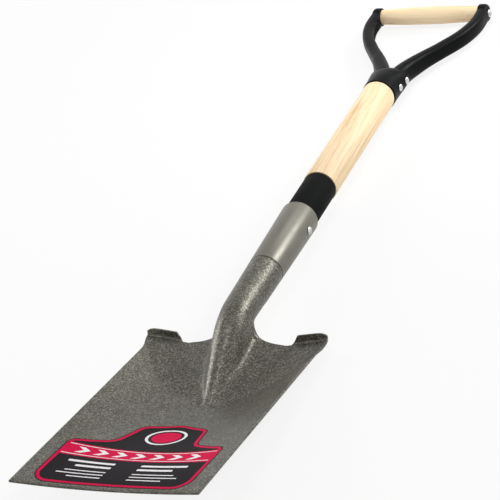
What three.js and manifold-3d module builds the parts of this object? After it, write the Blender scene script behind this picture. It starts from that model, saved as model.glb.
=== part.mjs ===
// A garden spade lying on its back, in millimetres. The shaft's axis runs along +Y toward the hand grip,
// +X is across the blade and +Z is the side that faces the digger's soil, the front.
// The blade and its socket are one pressed sheet. A wooden shaft runs from the socket to a steel yoke,
// which carries a wooden crossbar on a long rivet.

import * as THREE from "three";
import { mergeVertices } from "three/addons/utils/BufferGeometryUtils.js";
import Module from "manifold-3d";

const wasm = await Module();
wasm.setup();

const degrees = Math.PI / 180;

// Fits
const clearance = 0.3;
const edgeBreak = 0.8;

// Blade: one pressed steel sheet
const sheetThickness = 2;
const bladeLength = 310;
const bladeWidth = 200;
const bladeLift = 9.5 * degrees;
const bladeSetBack = 22;
const cornerFlare = 4;
const flareLength = 26;
const cuttingDish = 4;
const troughDish = 32;

// Crest: the half cone that carries the socket down into the blade
const crestLength = 92;
const crestFade = 7;
const crestReach = 25;
const crestTipRadius = 9.5;
const crestTipAngle = 30 * degrees;
const crestFlankAngle = 85 * degrees;
const crestSlopeShare = 0.36;

// Valleys beside the crest, and the facets that rise from them to the corners
const apexHalfWidth = 28;
const apexSetUp = 10;
const mouthHalfWidth = 56;
const cornerRise = 3;
const valleyDrop = 4.5;
const foldSoftness = 0.6;

// Foot treads: the top edge folded forward on both sides
const treadStart = 63;
const treadLength = 11;
const treadCut = 7;
const treadBend = 3.5;
const treadAngle = 76 * degrees;
const treadRounding = 4;
const treadCornerPower = 8;

// Socket: the sheet rolled into a tube, open along the back
const neckRadius = 16.8;
const socketRadius = 18.7;
const socketInset = 10;
const joggleLength = 2;
const scoopLength = 42;
const scoopPower = 8;
const scoopAngle = 118 * degrees;
const seamAngle = 171 * degrees;
const seamLength = 62;
const wingAngle = 3 * degrees;
const wingTightnessShare = 0.8;

// Collar, sleeve and shaft
const collarBottom = 101;
const collarLength = 107;
const collarWall = 0.9;
const collarLip = 2.4;
const sleeveLength = 71;
const sleeveRadius = 19.4;
const sleeveWall = 1.2;
const sleeveTuck = 6;
const shaftRadius = 20.2;
const shaftFoot = 44;
const shaftFootRadius = 13.6;
const yokeRim = 486;

// Yoke: a rimmed cup that splits into two channelled arms, each ending in an eye
const cupRadius = 21.1;
const cupWall = 1.9;
const cupDepth = 38;
const yokeLength = 212;
const bodyLength = 49;
const eyeRadius = 12;
const eyeInner = 66;
const eyeOuter = 79;
const eyeSeatDepth = 3;
const eyeRounding = 5.4;
const edgeRoundShare = 0.29;
const armReach = 72;
const armDepth = 20.5;
const armRootDepth = 29;
const armThickness = 15.5;
const armRootThickness = 24;
const armSettledShare = 0.5;
const roundPower = 2;
const armSquareness = 3;
const channelDepth = 3.4;
const grooveFloorShare = 0.3;
const grooveWidthShare = 0.6;
const grooveStartShares = [0.3, 0.45];
const grooveEndShares = [0.85, 0.93];
// The arm's line, as shares of its reach to the side and of the yoke's length
const armLineShares = [
  [0.13, 0.12],
  [0.18, 0.245],
  [0.385, 0.4],
  [0.635, 0.54],
  [0.87, 0.685],
  [0.99, 0.83],
  [1, 1],
];
// The body's sections: their places as shares of its length, half widths and half depths of the cup's radius
const bodyShares = [
  [0, 1, 1],
  [0.29, 1.02, 0.99],
  [0.53, 1.08, 0.94],
  [0.76, 1.17, 0.84],
  [0.92, 1.14, 0.66],
  [1, 0.7, 0.36],
];
const tenonTaperShare = 0.35;
const tenonEndShare = 0.74;

// Crossbar and its rivet
const barMidRadius = 11.4;
const barEndRadius = 9.6;
const rodRadius = 3.4;
const rodHeadRadius = 5.2;
const rodHeadHeight = 2.8;

// Cross rivets: one through the collar, two through the cup
const rivetRadius = 2.6;
const rivetHeadRadius = 4.6;
const rivetHeadHeight = 2.4;
const collarRivetInset = 27;
// The cup's rivets, as shares of its depth, and their grips as shares of its radius
const cupRivetShares = [0.5, 0.97];
const cupGripShares = [1.025, 1.13];

// Mesh steps
const crownSteps = 5;
const wingSteps = 8;
const facetSteps = 9;
const lowerRows = 11;
const crestRows = 17;
const scoopRows = 9;
const tubeRows = 5;
const joggleRows = 2;
const coveredRows = 3;
const treadRows = 5;
const roundSteps = 36;
const rivetSteps = 14;
const domeSteps = 4;
const barSteps = 8;
const ringSteps = 16;
const mergeDistance = 1e-4;
const meshTolerance = 0.02;
const armSteps = 15;

// Small sums used all over
const mix = (from, to, share) => from + (to - from) * share;
const clamp = (share) => Math.min(1, Math.max(0, share));
const ease = (share) => clamp(share) ** 2 * (3 - 2 * clamp(share));
const easeBetween = (from, to, value) => ease((value - from) / (to - from));

// The sheet's surface, as heights over the plane of the shaft

const bladeEnd = -bladeLength * Math.cos(bladeLift);
const collarTop = collarBottom + collarLength;
const socketTop = collarTop - socketInset;
const collarRivetLine = collarTop - collarRivetInset;
const cupRivetLines = cupRivetShares.map((share) => yokeRim + cupDepth * share);
const cupRivetGrips = cupGripShares.map((share) => cupRadius * share);
const eyeLine = yokeRim + yokeLength;
const crestTip = -crestLength;
const apexLine = -crestLength + apexSetUp;

function halfWidthAt(y) {
  return bladeWidth / 2 + cornerFlare * easeBetween(-flareLength, 0, y);
}

function edgeHeightAt(y) {
  return -bladeSetBack - y * Math.tan(bladeLift);
}

function mainFaceAt(x, y) {
  const dish = mix(cuttingDish, troughDish, easeBetween(bladeEnd, apexLine, y));
  return edgeHeightAt(y) - dish * (1 - (x / halfWidthAt(y)) ** 2);
}

// The facet is the plane through the valley's apex, the corner and the valley's mouth in the top edge.
const facetPlane = new THREE.Plane().setFromCoplanarPoints(
  new THREE.Vector3(apexHalfWidth, apexLine, mainFaceAt(apexHalfWidth, apexLine)),
  new THREE.Vector3(halfWidthAt(0), 0, edgeHeightAt(0) + cornerRise),
  new THREE.Vector3(mouthHalfWidth, 0, edgeHeightAt(0) - valleyDrop),
);

function facetAt(x, y) {
  const { normal, constant } = facetPlane;
  return -(normal.x * x + normal.y * y + constant) / normal.z;
}

// The higher of the two faces, with the fold between them rounded.
function faceAt(x, y) {
  const main = mainFaceAt(x, y);
  const facet = facetAt(x, y);
  return (main + facet + Math.hypot(main - facet, foldSoftness)) / 2;
}

function valleyXAt(y) {
  return mix(apexHalfWidth, mouthHalfWidth, clamp((y - apexLine) / -apexLine));
}

// The socket widens evenly. The collar carries on its outside, so the sheet steps in where it starts.
function coneRadiusAt(y) {
  return mix(neckRadius, socketRadius, Math.max(y, 0) / collarBottom);
}

function tubeRadiusAt(y) {
  const stepped = easeBetween(collarBottom - joggleLength, collarBottom, y);
  return coneRadiusAt(y) - (collarWall + clearance) * stepped;
}

// The crest's line leaves the trough at a slope and runs out level along the top of the socket.
function crestHeightAt(y) {
  if (y <= crestTip) return mainFaceAt(0, y);
  const run = crestLength + crestReach;
  const share = clamp((y - crestTip) / run);
  const start = mainFaceAt(0, crestTip);
  const end = tubeRadiusAt(Math.max(y, crestReach));
  const bulge = share * (1 - share) ** 2 * crestSlopeShare * run;
  return mix(start, end, ease(share)) + bulge;
}

function crownRadiusAt(y) {
  return y >= 0 ? tubeRadiusAt(y) : mix(crestTipRadius, neckRadius, easeBetween(crestTip, 0, y));
}

function crownAngleAt(y) {
  return mix(crestTipAngle, crestFlankAngle, easeBetween(crestTip, 0, y));
}

// Where the crest's section ends, and the direction it ends in: in the valley beside the blade, then along
// the scooped top edge, then round the tube to the seam.
function sectionEndAt(y) {
  if (y <= 0) {
    const x = valleyXAt(y);
    return { x, z: faceAt(x, y), angle: wingAngle * easeBetween(crestTip, 0, y), wrapped: 0 };
  }
  const radius = tubeRadiusAt(y);
  const scooped = 1 - (1 - clamp(y / scoopLength)) ** scoopPower;
  const wrap = mix(scoopAngle, seamAngle, easeBetween(scoopLength, scoopLength + seamLength, y));
  return {
    x: mix(mouthHalfWidth, radius * Math.sin(wrap), scooped),
    z: mix(faceAt(mouthHalfWidth, 0), radius * Math.cos(wrap), scooped ** scoopPower),
    angle: mix(wingAngle, wrap, scooped ** 2),
    wrapped: scooped ** 2,
  };
}

// A point of the crest's section: first the round crown, then one curve from its flank to the section's end.
function crestPoint(y, column) {
  const radius = crownRadiusAt(y);
  const centre = crestHeightAt(y) - radius;
  const flank = crownAngleAt(y);
  if (column <= crownSteps) {
    const angle = (flank * column) / crownSteps;
    return { x: radius * Math.sin(angle), z: centre + radius * Math.cos(angle) };
  }
  const end = sectionEndAt(y);
  const start = { x: radius * Math.sin(flank), z: centre + radius * Math.cos(flank) };
  const turn = Math.abs(end.angle - flank);
  const arcShare = (2 / 3) * (Math.tan(turn / 4) / Math.sin(turn / 2));
  const arcHandle = arcShare * Math.hypot(end.x - start.x, end.z - start.z);
  const flankHandle = mix(wingTightnessShare * Math.abs(start.z - end.z), arcHandle, end.wrapped);
  const endHandle = mix(wingTightnessShare * Math.abs(end.x - start.x), arcHandle, end.wrapped);
  const curve = new THREE.CubicBezierCurve(
    new THREE.Vector2(start.x, start.z),
    new THREE.Vector2(start.x + flankHandle * Math.cos(flank), start.z - flankHandle * Math.sin(flank)),
    new THREE.Vector2(end.x - endHandle * Math.cos(end.angle), end.z + endHandle * Math.sin(end.angle)),
    new THREE.Vector2(end.x, end.z),
  );
  const point = curve.getPoint((column - crownSteps) / wingSteps);
  return { x: point.x, z: point.y };
}

const valleyColumn = crownSteps + wingSteps;
const edgeColumn = valleyColumn + facetSteps;
const treadShare = (treadStart - mouthHalfWidth) / (halfWidthAt(0) - mouthHalfWidth);

// The share of the way from the valley to the side edge; the first step ends where the tread starts.
function facetShare(column) {
  const step = column - valleyColumn;
  return step === 0 ? 0 : mix(treadShare, 1, (step - 1) / (facetSteps - 1));
}

function bladePoint(y, column) {
  if (column > valleyColumn) {
    const x = mix(valleyXAt(y), halfWidthAt(y), facetShare(column));
    return new THREE.Vector3(x, y, faceAt(x, y));
  }
  const crest = crestPoint(y, column);
  const even = apexHalfWidth * (column / valleyColumn);
  const x = mix(even, crest.x, easeBetween(crestTip - apexHalfWidth, crestTip, y));
  const raised = easeBetween(crestTip - crestFade, crestTip + crestFade, y);
  return new THREE.Vector3(x, y, mix(faceAt(x, y), crest.z, raised));
}

// A point of the tread, at a share of its length from the bend to its free edge.
function treadPoint(share, column) {
  const across = (column - valleyColumn - 1) / (facetSteps - 1);
  const rounded = 1 - (treadRounding / treadLength) * across ** treadCornerPower;
  const along = treadLength * share * rounded;
  const x = mix(treadStart + treadCut * share, halfWidthAt(0), across);
  const bent = Math.min(along / treadBend, treadAngle);
  const straight = along - bent * treadBend;
  const forward = treadBend * (1 - Math.cos(bent)) + straight * Math.sin(bent);
  const up = treadBend * Math.sin(bent) + straight * Math.cos(bent);
  return new THREE.Vector3(x, up, faceAt(x, 0) + forward);
}

// Rows of the sheet from the cutting edge to the socket's top, each with the columns that it has.

function sheetRows() {
  const rows = [];
  const row = (first, last, pointAt) => {
    const points = new Map();
    for (let column = first; column <= last; column += 1) points.set(column, pointAt(column));
    return points;
  };
  const fadeStart = crestTip - crestFade;
  for (let step = 0; step < lowerRows; step += 1) {
    const y = mix(bladeEnd, fadeStart, step / lowerRows);
    rows.push(row(0, edgeColumn, (column) => bladePoint(y, column)));
  }
  for (let step = 0; step <= crestRows; step += 1) {
    const y = mix(fadeStart, 0, step / crestRows);
    rows.push(row(0, edgeColumn, (column) => bladePoint(y, column)));
  }
  const topEdge = rows.length - 1;
  const treads = [rows[topEdge]];
  for (let step = 1; step <= treadRows; step += 1) {
    treads.push(row(valleyColumn + 1, edgeColumn, (column) => treadPoint(step / treadRows, column)));
  }
  for (let step = 1; step <= scoopRows; step += 1) {
    const y = scoopLength * (step / scoopRows) ** 2;
    rows.push(row(0, valleyColumn, (column) => tubePoint(y, column)));
  }
  const stretches = [
    [scoopLength, collarBottom - joggleLength, tubeRows],
    [collarBottom - joggleLength, collarBottom, joggleRows],
    [collarBottom, socketTop, coveredRows],
  ];
  for (const [from, to, count] of stretches) {
    for (let step = 1; step <= count; step += 1) {
      rows.push(row(0, valleyColumn, (column) => tubePoint(mix(from, to, step / count), column)));
    }
  }
  return [rows, treads];
}

function tubePoint(y, column) {
  const point = crestPoint(y, column);
  return new THREE.Vector3(point.x, y, point.z);
}

// Both halves of the rows as one triangle mesh without thickness, facing the front.
function sheetSurface() {
  const points = [];
  const triangles = [];
  const indexOf = new Map();
  const indexFor = (point, side) => {
    const place = [point.x * side, point.y, point.z];
    const key = place.map((value) => Math.round(value / mergeDistance)).join(" ");
    if (!indexOf.has(key)) {
      indexOf.set(key, points.length);
      points.push(new THREE.Vector3(...place));
    }
    return indexOf.get(key);
  };
  for (const side of [-1, 1]) {
    for (const rows of sheetRows()) {
      for (let step = 0; step + 1 < rows.length; step += 1) {
        const [lower, upper] = [rows[step], rows[step + 1]];
        for (let column = 0; column < edgeColumn; column += 1) {
          const next = column + 1;
          const corners = [lower.get(column), lower.get(next), upper.get(next), upper.get(column)];
          if (corners.some((corner) => corner === undefined)) continue;
          const [a, b, c, d] = corners.map((corner) => indexFor(corner, side));
          triangles.push(...(side > 0 ? [[a, b, c], [a, c, d]] : [[a, c, b], [a, d, c]]));
        }
      }
    }
  }
  return { points, triangles };
}

// Gives a surface its thickness: a front and a back skin, joined along the surface's own border.
function thickened({ points, triangles }, thickness) {
  const normals = points.map(() => new THREE.Vector3());
  const borders = new Map();
  for (const triangle of triangles) {
    const [a, b, c] = triangle.map((index) => points[index]);
    const facing = new THREE.Vector3().subVectors(b, a).cross(new THREE.Vector3().subVectors(c, a));
    for (const index of triangle) normals[index].add(facing);
    triangle.forEach((from, corner) => {
      const to = triangle[(corner + 1) % triangle.length];
      if (!borders.delete(`${to} ${from}`)) borders.set(`${from} ${to}`, [from, to]);
    });
  }
  normals.forEach((normal, index) => {
    const onCuttingEdge = Math.abs(points[index].y - bladeEnd) < sheetThickness / 2;
    if (onCuttingEdge) normal.y = 0;
    normal.setLength(thickness / 2);
  });
  const front = points.map((point, index) => point.clone().add(normals[index]));
  const back = points.map((point, index) => point.clone().sub(normals[index]));
  const count = points.length;
  const faces = [];
  for (const [a, b, c] of triangles) faces.push([a, b, c], [a + count, c + count, b + count]);
  for (const [from, to] of borders.values()) {
    faces.push([from, from + count, to + count], [from, to + count, to]);
  }
  const geometry = new THREE.BufferGeometry().setFromPoints([...front, ...back]);
  geometry.setIndex(faces.flat());
  return geometry;
}

// Solids: joining and cutting closed geometries

function solidOf(geometry) {
  const bare = geometry.clone();
  bare.deleteAttribute("normal");
  bare.deleteAttribute("uv");
  const merged = mergeVertices(bare, mergeDistance);
  return new wasm.Manifold(
    new wasm.Mesh({
      numProp: 3,
      vertProperties: merged.attributes.position.array,
      triVerts: new Uint32Array(merged.index.array),
    }),
  );
}

function geometryOf(solid) {
  const { vertProperties, triVerts } = solid.simplify(meshTolerance).getMesh();
  const geometry = new THREE.BufferGeometry();
  geometry.setAttribute("position", new THREE.BufferAttribute(vertProperties, 3));
  geometry.setIndex(new THREE.BufferAttribute(triVerts, 1));
  return geometry;
}

const minus = (solid, ...cuts) => cuts.reduce((rest, cut) => rest.subtract(cut), solid);
const joined = (...solids) => solids.reduce((whole, solid) => whole.add(solid));

// A profile of [radius, place] pairs turned about the shaft's axis, or about the axis across the spade.
function turned(profile, steps = roundSteps) {
  return new THREE.LatheGeometry(
    profile.map(([radius, place]) => new THREE.Vector2(radius, place)),
    steps,
  );
}

function turnedAcross(profile, steps = roundSteps) {
  return turned(profile, steps).rotateZ(-Math.PI / 2);
}

function ringProfile(inner, outer, from, to) {
  return [
    [inner, from],
    [outer - edgeBreak, from],
    [outer, from + edgeBreak],
    [outer, to - edgeBreak],
    [outer - edgeBreak, to],
    [inner, to],
    [inner, from],
  ];
}

// A hole across the spade at a place along the shaft.
function crossHole(radius, halfLength, y) {
  const profile = [[0, -halfLength], [radius, -halfLength], [radius, halfLength], [0, halfLength]];
  return solidOf(turnedAcross(profile, rivetSteps).translate(0, y, 0));
}

// A pin across the spade with a domed head at each end; the heads' undersides are a set distance apart.
function domedPin(pinRadius, headRadius, headHeight, halfGrip) {
  const dome = [];
  for (let step = 1; step < domeSteps; step += 1) {
    const angle = (step / domeSteps) * (Math.PI / 2);
    dome.push([headRadius * Math.cos(angle), halfGrip + headHeight * Math.sin(angle)]);
  }
  const upper = [[pinRadius, halfGrip], [headRadius, halfGrip], ...dome, [0, halfGrip + headHeight]];
  const lower = upper.map(([radius, place]) => [radius, -place]).reverse();
  return turnedAcross([...lower, ...upper], rivetSteps);
}

// A chain of closed rings skinned into a solid, with a flat end at each side.
function loft(rings) {
  const count = rings[0].length;
  const faces = [];
  for (let ring = 0; ring + 1 < rings.length; ring += 1) {
    for (let corner = 0; corner < count; corner += 1) {
      const next = (corner + 1) % count;
      const [a, b] = [ring * count + corner, ring * count + next];
      faces.push([a, b + count, b], [a, a + count, b + count]);
    }
  }
  const points = rings.flat();
  for (const [ring, turnedRound] of [[0, true], [rings.length - 1, false]]) {
    const centre = points.length;
    points.push(rings[ring].reduce((sum, point) => sum.add(point), new THREE.Vector3()).divideScalar(count));
    for (let corner = 0; corner < count; corner += 1) {
      const [a, b] = [ring * count + corner, ring * count + ((corner + 1) % count)];
      faces.push(turnedRound ? [centre, a, b] : [centre, b, a]);
    }
  }
  const geometry = new THREE.BufferGeometry().setFromPoints(points);
  geometry.setIndex(faces.flat());
  return geometry;
}

// Pieces

function collarRadiusAt(y) {
  return coneRadiusAt(y) + sheetThickness / 2;
}

function blade() {
  const holes = crossHole(rivetRadius + clearance, collarRadiusAt(collarTop), collarRivetLine);
  return minus(solidOf(thickened(sheetSurface(), sheetThickness)), holes);
}

// A cone flush with the socket below it, with its upper end rolled in round the sleeve.
function socketCollar() {
  const lipBore = sleeveRadius + clearance;
  const profile = [
    [collarRadiusAt(collarBottom) - collarWall, collarBottom],
    [collarRadiusAt(collarBottom), collarBottom],
    [collarRadiusAt(collarTop), collarTop - collarLip],
    [mix(collarRadiusAt(collarTop), lipBore, edgeRoundShare), collarTop - collarLip * edgeRoundShare],
    [lipBore, collarTop],
    [lipBore, collarTop - collarLip],
    [collarRadiusAt(collarTop) - collarWall, collarTop - collarLip - collarWall],
    [collarRadiusAt(collarBottom) - collarWall, collarBottom],
  ];
  return minus(
    solidOf(turned(profile)),
    crossHole(rivetRadius + clearance, collarRadiusAt(collarTop), collarRivetLine),
  );
}

const sleeveBottom = collarTop - sleeveTuck;
const sleeveTop = sleeveBottom + sleeveLength;

function shaftSleeve() {
  return solidOf(turned(ringProfile(sleeveRadius - sleeveWall, sleeveRadius, sleeveBottom, sleeveTop)));
}

const socketInside = sheetThickness / 2 + clearance;
const cupBore = cupRadius - cupWall;
const cupTop = yokeRim + cupDepth;

const cupBoreEnd = cupBore * tenonEndShare;

function woodenShaft() {
  const socketFit = tubeRadiusAt(collarBottom) - socketInside;
  const sleeveFit = sleeveRadius - sleeveWall - clearance;
  const tenon = boreProfile(clearance, yokeRim - clearance).slice(1);
  const shoulder = shaftRadius - tenon[0][0];
  const profile = [
    [0, shaftFoot],
    [shaftFootRadius - edgeBreak, shaftFoot],
    [shaftFootRadius, shaftFoot + edgeBreak],
    [socketFit, collarBottom],
    [sleeveFit, socketTop],
    [sleeveFit, sleeveTop + clearance],
    [shaftRadius - edgeBreak, sleeveTop + clearance],
    [shaftRadius, sleeveTop + clearance + edgeBreak],
    [shaftRadius, yokeRim - clearance - shoulder],
    ...tenon,
  ];
  const holes = [collarRivetLine, ...cupRivetLines].map((line) =>
    crossHole(rivetRadius + clearance, shaftRadius + clearance, line),
  );
  return minus(solidOf(turned(profile)), ...holes);
}

// A closed ring of points round a centre: a rounded rectangle, squarer as the power grows, hollowed by the
// groove's depth on the side toward the hand opening.
function sectionRing(centre, across, halfThickness, halfDepth, power, groove) {
  const ring = [];
  for (let step = 0; step < ringSteps; step += 1) {
    const angle = (step / ringSteps) * 2 * Math.PI;
    const rounded = (value) => Math.sign(value) * Math.abs(value) ** (2 / power);
    const depth = halfDepth * rounded(Math.sin(angle));
    const side = halfThickness * rounded(Math.cos(angle));
    const offMiddle = easeBetween(grooveFloorShare, grooveWidthShare, Math.abs(depth) / halfDepth);
    const hollow = side < 0 ? groove * (1 - offMiddle) : 0;
    ring.push(centre.clone().addScaledVector(across, side + hollow).setZ(depth));
  }
  return ring;
}

// An arm's centre line, from inside the yoke's body out to the eye, and its section along the way.
const armLine = new THREE.CatmullRomCurve3(
  armLineShares.map(([out, up]) => new THREE.Vector3(armReach * out, yokeRim + yokeLength * up, 0)),
);

function armRing(share) {
  const heading = armLine.getTangent(share);
  const outward = new THREE.Vector3(heading.y, -heading.x, 0);
  const settled = easeBetween(0, armSettledShare, share);
  const opened = easeBetween(...grooveStartShares, share);
  const closed = easeBetween(...grooveEndShares, share);
  return sectionRing(
    armLine.getPoint(share),
    outward,
    mix(armRootThickness, armThickness, settled) / 2,
    mix(armRootDepth, armDepth, settled) / 2,
    mix(roundPower, armSquareness, settled),
    channelDepth * opened * (1 - closed),
  );
}

// An arm, faced off round the crossbar's end so that the eye stands clear of it.
function yokeArm() {
  const rings = [];
  for (let step = 0; step <= armSteps; step += 1) rings.push(armRing(step / armSteps));
  const facing = crossPocket(eyeRadius + edgeBreak, eyeInner - armDepth, eyeInner + clearance, eyeLine);
  return minus(solidOf(loft(rings)), facing);
}

function eye() {
  const profile = [
    [0, eyeInner],
    [eyeRadius - edgeBreak, eyeInner],
    [eyeRadius, eyeInner + edgeBreak],
    [eyeRadius, eyeOuter - eyeRounding],
    [eyeRadius - eyeRounding * edgeRoundShare, eyeOuter - eyeRounding * edgeRoundShare],
    [eyeRadius - eyeRounding, eyeOuter],
    [0, eyeOuter],
  ];
  return solidOf(turnedAcross(profile).translate(0, eyeLine, 0));
}

function mirrored(solid) {
  return solid.mirror([1, 0, 0]);
}

// The yoke's body: round at the rim, wider and flatter toward the crotch between the arms.
function yokeBody() {
  const across = new THREE.Vector3(1, 0, 0);
  const rings = bodyShares.map(([place, halfWidth, halfDepth]) => {
    const centre = new THREE.Vector3(0, yokeRim + bodyLength * place, 0);
    return sectionRing(centre, across, cupRadius * halfWidth, cupRadius * halfDepth, roundPower, 0);
  });
  return solidOf(loft(rings));
}

const tenonShoulder = cupDepth * tenonTaperShare;

// The cup's bore, or the tenon in it when it is drawn in by a gap.
function boreProfile(gap, from) {
  return [
    [0, from],
    [cupBore - gap, from],
    [cupBore - gap, yokeRim + tenonShoulder],
    [cupBoreEnd - gap, cupTop - gap],
    [0, cupTop - gap],
  ];
}

// A round pocket across the spade, open to the outside, for a head or for the crossbar's end.
function crossPocket(radius, from, to, y) {
  return solidOf(turnedAcross([[0, from], [radius, from], [radius, to], [0, to]]).translate(0, y, 0));
}

function yoke() {
  const arm = yokeArm();
  const oneEye = eye();
  const whole = joined(yokeBody(), arm, mirrored(arm), oneEye, mirrored(oneEye));
  const seat = crossPocket(barEndRadius + clearance, eyeInner - armDepth, eyeInner + eyeSeatDepth, eyeLine);
  const rodSeat = crossPocket(rodHeadRadius + clearance, eyeOuter, eyeOuter + armDepth, eyeLine);
  const rivetSeats = cupRivetLines.map((line, index) =>
    crossPocket(rivetHeadRadius + clearance, cupRivetGrips[index], cupRivetGrips[index] + armDepth, line),
  );
  const pockets = [seat, rodSeat, ...rivetSeats];
  const holes = [
    crossHole(rodRadius + clearance, eyeOuter + rodHeadHeight, eyeLine),
    ...cupRivetLines.map((line) => crossHole(rivetRadius + clearance, cupRadius + armDepth, line)),
  ];
  const bore = solidOf(turned(boreProfile(0, yokeRim - cupWall)));
  return minus(whole, bore, ...pockets, ...pockets.map(mirrored), ...holes);
}

function crossbar() {
  const half = eyeInner + eyeSeatDepth - clearance;
  const profile = [[0, -half]];
  for (let step = 0; step <= barSteps; step += 1) {
    const along = mix(-1, 1, step / barSteps);
    profile.push([mix(barMidRadius, barEndRadius, along ** 2), along * half]);
  }
  profile.push([0, half]);
  const body = solidOf(turnedAcross(profile).translate(0, eyeLine, 0));
  return minus(body, crossHole(rodRadius + clearance, half + clearance, eyeLine));
}

function crossRivet(halfGrip, line) {
  const grip = halfGrip + clearance;
  return solidOf(domedPin(rivetRadius, rivetHeadRadius, rivetHeadHeight, grip).translate(0, line, 0));
}

function crossbarRod() {
  const grip = eyeOuter + clearance;
  return solidOf(domedPin(rodRadius, rodHeadRadius, rodHeadHeight, grip).translate(0, eyeLine, 0));
}

// Finishes

const finishes = {
  hammerPaint: { color: 0x74746a, roughness: 0.55, metalness: 0.35 },
  collarPaint: { color: 0x8c8a7e, roughness: 0.4, metalness: 0.3 },
  blackPlastic: { color: 0x1e201f, roughness: 0.5, metalness: 0 },
  blackPaint: { color: 0x1b1d1e, roughness: 0.42, metalness: 0.2 },
  paleWood: { color: 0xf2dfb8, roughness: 0.6, metalness: 0 },
  brightSteel: { color: 0xc9c9c6, roughness: 0.3, metalness: 0.9 },
};

function piece(name, solid, finish) {
  const mesh = new THREE.Mesh(geometryOf(solid), new THREE.MeshStandardMaterial(finishes[finish]));
  mesh.name = name;
  return mesh;
}

const pieces = new THREE.Group();
pieces.add(
  piece("blade_and_socket", blade(), "hammerPaint"),
  piece("socket_collar", socketCollar(), "collarPaint"),
  piece("shaft_sleeve", shaftSleeve(), "blackPlastic"),
  piece("wooden_shaft", woodenShaft(), "paleWood"),
  piece("yoke", yoke(), "blackPaint"),
  piece("crossbar_grip", crossbar(), "paleWood"),
  piece("crossbar_rivet", crossbarRod(), "brightSteel"),
  piece("collar_rivet", crossRivet(collarRadiusAt(collarRivetLine), collarRivetLine), "brightSteel"),
);
cupRivetLines.forEach((line, index) => {
  pieces.add(piece(`yoke_rivet_${index + 1}`, crossRivet(cupRivetGrips[index], line), "brightSteel"));
});

// The spade rests on its trough and its yoke's rim, with the bottom centre of its box at the origin.
const troughBottom = -mainFaceAt(0, crestTip) + sheetThickness / 2;
pieces.rotation.x = -Math.atan2(troughBottom - cupRadius, yokeRim - crestTip);
pieces.updateMatrixWorld(true);
const bounds = new THREE.Box3().setFromObject(pieces, true);
const middle = bounds.getCenter(new THREE.Vector3());
pieces.position.set(-middle.x, -middle.y, -bounds.min.z);
const spade = new THREE.Group();
spade.add(pieces);

export default spade;
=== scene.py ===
# Garden spade lying on its back, seen from the blade's end.
# Sizes are in millimetres in the spade's own frame: +Y along the shaft to the grip, +Z the blade's front,
# y = 0 at the blade's top edge and z = 0 on the shaft's axis. toRow turns them to metres in the shared frame.
import math

import bmesh
import bpy
from mathutils import Matrix, Vector


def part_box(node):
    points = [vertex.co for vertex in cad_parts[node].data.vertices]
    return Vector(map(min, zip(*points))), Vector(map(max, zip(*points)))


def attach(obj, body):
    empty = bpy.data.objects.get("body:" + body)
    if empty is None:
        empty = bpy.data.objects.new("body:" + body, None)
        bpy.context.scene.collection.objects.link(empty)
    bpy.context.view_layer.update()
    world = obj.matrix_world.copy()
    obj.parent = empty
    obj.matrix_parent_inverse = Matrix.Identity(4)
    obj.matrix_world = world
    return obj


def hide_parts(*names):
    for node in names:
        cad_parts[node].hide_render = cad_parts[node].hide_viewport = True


mm = 0.001
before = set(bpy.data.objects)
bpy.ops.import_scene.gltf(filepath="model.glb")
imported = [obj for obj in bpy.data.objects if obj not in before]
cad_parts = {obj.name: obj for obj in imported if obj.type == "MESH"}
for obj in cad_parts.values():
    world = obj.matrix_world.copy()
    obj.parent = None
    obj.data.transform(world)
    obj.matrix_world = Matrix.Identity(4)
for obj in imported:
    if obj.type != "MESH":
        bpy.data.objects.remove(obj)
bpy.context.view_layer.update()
print("frame loaded:", len(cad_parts), "nodes")


# Small sums

def mix(start, end, share):
    return start + (end - start) * share


def clamp(share):
    return min(1.0, max(0.0, share))


def ease(share):
    share = clamp(share)
    return share * share * (3 - 2 * share)


def easeBetween(start, end, value):
    return ease((value - start) / (end - start))


def boxCentre(node):
    low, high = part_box(node)
    return (low + high) / 2


# Where the pieces meet along the shaft
spade = {
    "collarBottom": 101,
    "collarTop": 208,
    "collarWall": 0.9,
    "collarRivet": 181,
    "socketTop": 198,
    "sleeveBottom": 202,
    "sleeveTop": 273,
    "yokeRim": 486,
    "grip": 698,            # the crossbar's axis
    "gap": 0.3,
}

# The spade lies tilted a little. Its rivets, square across the shaft, give the frame that it was made in.
gripCentre = boxCentre("crossbar_rivet")
shaftWay = (gripCentre - boxCentre("collar_rivet")).normalized()
frontWay = Vector((1, 0, 0)).cross(shaftWay)
toRow = Matrix.Translation(gripCentre - shaftWay * spade["grip"] * mm) @ Matrix((
    (mm, shaftWay.x * mm, frontWay.x * mm, 0),
    (0, shaftWay.y * mm, frontWay.y * mm, 0),
    (0, shaftWay.z * mm, frontWay.z * mm, 0),
    (0, 0, 0, 1),
))


# Camera, light and floor

view = {
    "place": (0.94455, -1.76393, 1.22688),
    "turn": (57.6736, 13.6297, 21.4287),     # degrees
    "lens": 150.918,                         # mm
    "sensor": 36,                            # mm
}


def makeCamera():
    data = bpy.data.cameras.new("camera")
    camera = bpy.data.objects.new("camera", data)
    bpy.context.collection.objects.link(camera)
    bpy.context.scene.camera = camera
    data.lens = view["lens"]
    data.sensor_width = view["sensor"]
    data.clip_start = 0.05
    data.clip_end = 50
    camera.location = view["place"]
    camera.rotation_euler = [math.radians(angle) for angle in view["turn"]]
    bpy.context.scene.view_settings.view_transform = "Standard"


makeCamera()


def toLinear(hexColour):
    # an sRGB hex colour as the linear RGBA that shaders take
    channels = [int(hexColour[i:i + 2], 16) / 255 for i in (1, 3, 5)]
    return [c / 12.92 if c <= 0.04045 else ((c + 0.055) / 1.055) ** 2.4 for c in channels] + [1.0]


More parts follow.
